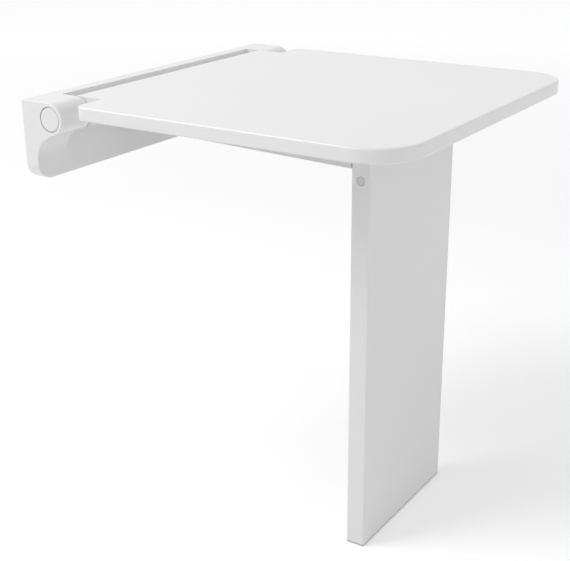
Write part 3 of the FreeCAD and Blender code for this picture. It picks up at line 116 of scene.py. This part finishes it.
# Soft boxes: name, place and size in metres, light on the object, and whether gloss shows them
LIGHT_AIM = (0.0, -0.25, -0.1)
SOFT_BOXES = (
    ("box_back_left", (-1.5, 1.3, 1.9), 1.4, 0.42, True),
    ("box_above", (-0.45, -0.25, 2.3), 0.9, 0.06, True),
    ("box_low_front", (-0.1, -2.1, -0.3), 0.9, 0.12, False),
)


def build_camera():
    """The photograph's camera, with the wide side of the sensor across the image."""
    back = Vector((
        math.sin(CAMERA_AZIMUTH) * math.cos(CAMERA_ELEVATION),
        -math.cos(CAMERA_AZIMUTH) * math.cos(CAMERA_ELEVATION),
        math.sin(CAMERA_ELEVATION),
    ))
    level = Vector((math.cos(CAMERA_AZIMUTH), math.sin(CAMERA_AZIMUTH), 0.0))
    upright = back.cross(level)
    right = level * math.cos(CAMERA_ROLL) + upright * math.sin(CAMERA_ROLL)
    up = back.cross(right)
    data = bpy.data.cameras.new("photo_camera")
    data.sensor_width = SENSOR_WIDTH
    data.lens = SENSOR_WIDTH * FOCAL_PIXELS / IMAGE_WIDTH
    camera = bpy.data.objects.new("photo_camera", data)
    camera.matrix_world = Matrix((
        (right.x, up.x, back.x, CAMERA_PLACE.x),
        (right.y, up.y, back.y, CAMERA_PLACE.y),
        (right.z, up.z, back.z, CAMERA_PLACE.z),
        (0.0, 0.0, 0.0, 1.0),
    ))
    scene.collection.objects.link(camera)
    scene.camera = camera


def new_material(name):
    """A material with only its output and main shader, joined."""
    material = bpy.data.materials.new(name)
    material.use_nodes = True
    tree = material.node_tree
    tree.nodes.clear()
    output = tree.nodes.new("ShaderNodeOutputMaterial")
    shader = tree.nodes.new("ShaderNodeBsdfPrincipled")
    tree.links.new(shader.outputs["BSDF"], output.inputs["Surface"])
    return material, tree, shader


def noise(tree, scale, detail=2.0, stretch=EVEN):
    """A noise texture in the object's own metres, stretched along its axes."""
    place = tree.nodes.new("ShaderNodeTexCoord")
    mapping = tree.nodes.new("ShaderNodeMapping")
    mapping.inputs["Scale"].default_value = stretch
    texture = tree.nodes.new("ShaderNodeTexNoise")
    texture.inputs["Scale"].default_value = scale
    texture.inputs["Detail"].default_value = detail
    tree.links.new(place.outputs["Object"], mapping.inputs["Vector"])
    tree.links.new(mapping.outputs["Vector"], texture.inputs["Vector"])
    return texture.outputs["Fac"]


def spread(tree, value, low, high, start=NOISE_LOW, end=NOISE_HIGH):
    """Map a value from the range start to end onto the range low to high, and hold it there."""
    node = tree.nodes.new("ShaderNodeMapRange")
    node.inputs["From Min"].default_value = start
    node.inputs["From Max"].default_value = end
    node.inputs["To Min"].default_value = low
    node.inputs["To Max"].default_value = high
    tree.links.new(value, node.inputs["Value"])
    return node.outputs["Result"]


def tinted(tree, value, dark, light):
    """A colour between two tones, by a texture's value."""
    ramp = tree.nodes.new("ShaderNodeValToRGB")
    ramp.color_ramp.elements[0].position = NOISE_LOW
    ramp.color_ramp.elements[0].color = (*dark, 1.0)
    ramp.color_ramp.elements[1].position = NOISE_HIGH
    ramp.color_ramp.elements[1].color = (*light, 1.0)
    tree.links.new(value, ramp.inputs["Fac"])
    return ramp.outputs["Color"]


def raised(tree, shader, value, height, strength):
    """Bump from a texture's value, with its height in metres."""
    bump = tree.nodes.new("ShaderNodeBump")
    bump.inputs["Strength"].default_value = strength
    bump.inputs["Distance"].default_value = height
    tree.links.new(value, bump.inputs["Height"])
    tree.links.new(bump.outputs["Normal"], shader.inputs["Normal"])


def distance(tree, centre, along):
    """Distance from a point in the object's own metres, counted only along the named directions."""
    place = tree.nodes.new("ShaderNodeTexCoord")
    offset = tree.nodes.new("ShaderNodeVectorMath")
    offset.operation = "SUBTRACT"
    offset.inputs[1].default_value = centre
    part = tree.nodes.new("ShaderNodeVectorMath")
    part.operation = "MULTIPLY"
    part.inputs[1].default_value = along
    length = tree.nodes.new("ShaderNodeVectorMath")
    length.operation = "LENGTH"
    tree.links.new(place.outputs["Object"], offset.inputs[0])
    tree.links.new(offset.outputs["Vector"], part.inputs[0])
    tree.links.new(part.outputs["Vector"], length.inputs[0])
    return length.outputs["Value"]


def combined(tree, operation, first, second):
    """One value worked out from two others."""
    node = tree.nodes.new("ShaderNodeMath")
    node.operation = operation
    tree.links.new(first, node.inputs[0])
    tree.links.new(second, node.inputs[1])
    return node.outputs["Value"]


def painted_groove_shade(tree, colour, centre):
    """A colour with painted groove shade, darker at the groove's distance from an axis along X
    through the centre.
    """
    reach = distance(tree, centre, (0.0, 1.0, 1.0))
    shaded = tree.nodes.new("ShaderNodeVectorMath")
    shaded.operation = "SCALE"
    tree.links.new(colour, shaded.inputs[0])
    shade = spread(tree, reach, 1.0, GROOVE_SHADE, GROOVE_START, GROOVE_END)
    tree.links.new(shade, shaded.inputs["Scale"])
    return shaded.outputs["Vector"]


def white_coat(name, tone, roughness, peel_scale, groove_centre):
    """White powder coat or plastic: faint patches, waves in surface and gloss, a clear film, and
    painted groove shade where a groove centre is given.
    """
    material, tree, shader = new_material(name)
    patches = noise(tree, PATCH_SCALE)
    peel = noise(tree, peel_scale, PEEL_DETAIL)
    colour = tinted(tree, patches, (tone * PATCH_SHADE,) * 3, (tone,) * 3)
    # Painted shade of the groove round the hinge cover: the tone darkens towards the cover's rim
    if groove_centre:
        colour = painted_groove_shade(tree, colour, groove_centre)
    tree.links.new(colour, shader.inputs["Base Color"])
    gloss = spread(tree, peel, roughness - PEEL_GLOSS, roughness + PEEL_GLOSS)
    tree.links.new(gloss, shader.inputs["Roughness"])
    raised(tree, shader, peel, PEEL_HEIGHT, PEEL_STRENGTH)
    shader.inputs["Coat Weight"].default_value = COAT_WEIGHT
    shader.inputs["Coat Roughness"].default_value = COAT_ROUGHNESS
    return material


def plain(name, tone, roughness, metallic, scale, stretch):
    """Metal, plastic or rubber with a fine grain in tone and gloss."""
    material, tree, shader = new_material(name)
    grain = noise(tree, scale, GRAIN_DETAIL, stretch)
    dark = tuple(part * GRAIN_SHADE for part in tone)
    tree.links.new(tinted(tree, grain, dark, tone), shader.inputs["Base Color"])
    gloss = spread(tree, grain, roughness - GRAIN_GLOSS_BELOW, roughness + GRAIN_GLOSS_ABOVE)
    tree.links.new(gloss, shader.inputs["Roughness"])
    shader.inputs["Metallic"].default_value = metallic
    raised(tree, shader, grain, GRAIN_HEIGHT, GRAIN_STRENGTH)
    return material


def build_materials():
    """One material for each of the record's slots."""
    joints = {joint["name"]: joint for joint in frame["record"]["behaviour"]["joints"]}
    hinge_centre = tuple(joints["seat_fold"]["pos_m"])
    materials = {}
    for name, finish in WHITE_COATS.items():
        # Only the hinge covers get the painted groove shade
        groove_centre = hinge_centre if name == "white_cap" else None
        materials[name] = white_coat(name, *finish, groove_centre)
    for name, finish in OTHER_FINISHES.items():
        materials[name] = plain(name, *finish)
    return materials


def dress_nodes(materials):
    """Give every CAD node the material of its slot."""
    slots = {part["node"]: part["material_slot"] for part in frame["record"]["subparts"]}
    for name, node in nodes.items():
        node.data.materials.clear()
        node.data.materials.append(materials[slots[name]])


def seen(tree):
    """1 for a ray that comes straight from the camera, from a gloss or through a clear surface."""
    path = tree.nodes.new("ShaderNodeLightPath")
    total = path.outputs[SEEN_RAYS[0]]
    for name in SEEN_RAYS[1:]:
        total = combined(tree, "MAXIMUM", total, path.outputs[name])
    return total


def build_floor():
    """Pale floor that takes the shadow, with a glow for seen rays alone, stronger far off."""
    low = cad_box[0].z
    half = FLOOR_SIZE / 2
    mesh = bpy.data.meshes.new("floor")
    mesh.from_pydata(
        [(-half, -half, low), (half, -half, low), (half, half, low), (-half, half, low)],
        [], [(0, 1, 2, 3)],
    )
    floor = bpy.data.objects.new("floor", mesh)
    scene.collection.objects.link(floor)
    material, tree, shader = new_material("floor_white")
    grain = noise(tree, FLOOR_GRAIN_SCALE)
    tone = tinted(tree, grain, (FLOOR_TONE * FLOOR_GRAIN_SHADE,) * 3, (FLOOR_TONE,) * 3)
    tree.links.new(tone, shader.inputs["Base Color"])
    shader.inputs["Roughness"].default_value = FLOOR_ROUGHNESS
    shader.inputs["Specular IOR Level"].default_value = FLOOR_SPECULAR
    reach = distance(tree, (0.0, 0.0, 0.0), (1.0, 1.0, 0.0))
    glow = spread(tree, reach, NEAR_GLOW[1], FAR_GLOW[1], NEAR_GLOW[0], FAR_GLOW[0])
    strength = combined(tree, "MULTIPLY", seen(tree), glow)
    shader.inputs["Emission Color"].default_value = WHITE
    tree.links.new(strength, shader.inputs["Emission Strength"])
    mesh.materials.append(material)


def soft_box(name, place, size, level, shown_in_gloss):
    """A square lamp that faces the object. Its level is a share of full white on a face there."""
    data = bpy.data.lights.new(name, "AREA")
    data.shape = "SQUARE"
    data.size = size
    away = Vector(place) - Vector(LIGHT_AIM)
    data.energy = level * math.pi ** 2 * away.length_squared
    lamp = bpy.data.objects.new(name, data)
    lamp.location = place
    lamp.rotation_euler = away.to_track_quat("Z", "Y").to_euler()
    lamp.visible_camera = False
    lamp.visible_glossy = shown_in_gloss
    scene.collection.objects.link(lamp)


def build_world():
    """Even surroundings: white to seen rays, and less bright as light on the object."""
    world = bpy.data.worlds.new("studio")
    scene.world = world
    world.use_nodes = True
    tree = world.node_tree
    tree.nodes.clear()
    output = tree.nodes.new("ShaderNodeOutputWorld")
    studio = tree.nodes.new("ShaderNodeBackground")
    studio.inputs["Color"].default_value = WHITE
    level = spread(tree, seen(tree), WORLD_LEVEL, 1.0, 0.0, 1.0)
    tree.links.new(level, studio.inputs["Strength"])
    tree.links.new(studio.outputs["Background"], output.inputs["Surface"])


build_camera()
dress_nodes(build_materials())
build_floor()
build_world()
for box in SOFT_BOXES:
    soft_box(*box)

scene.view_settings.view_transform = "Standard"
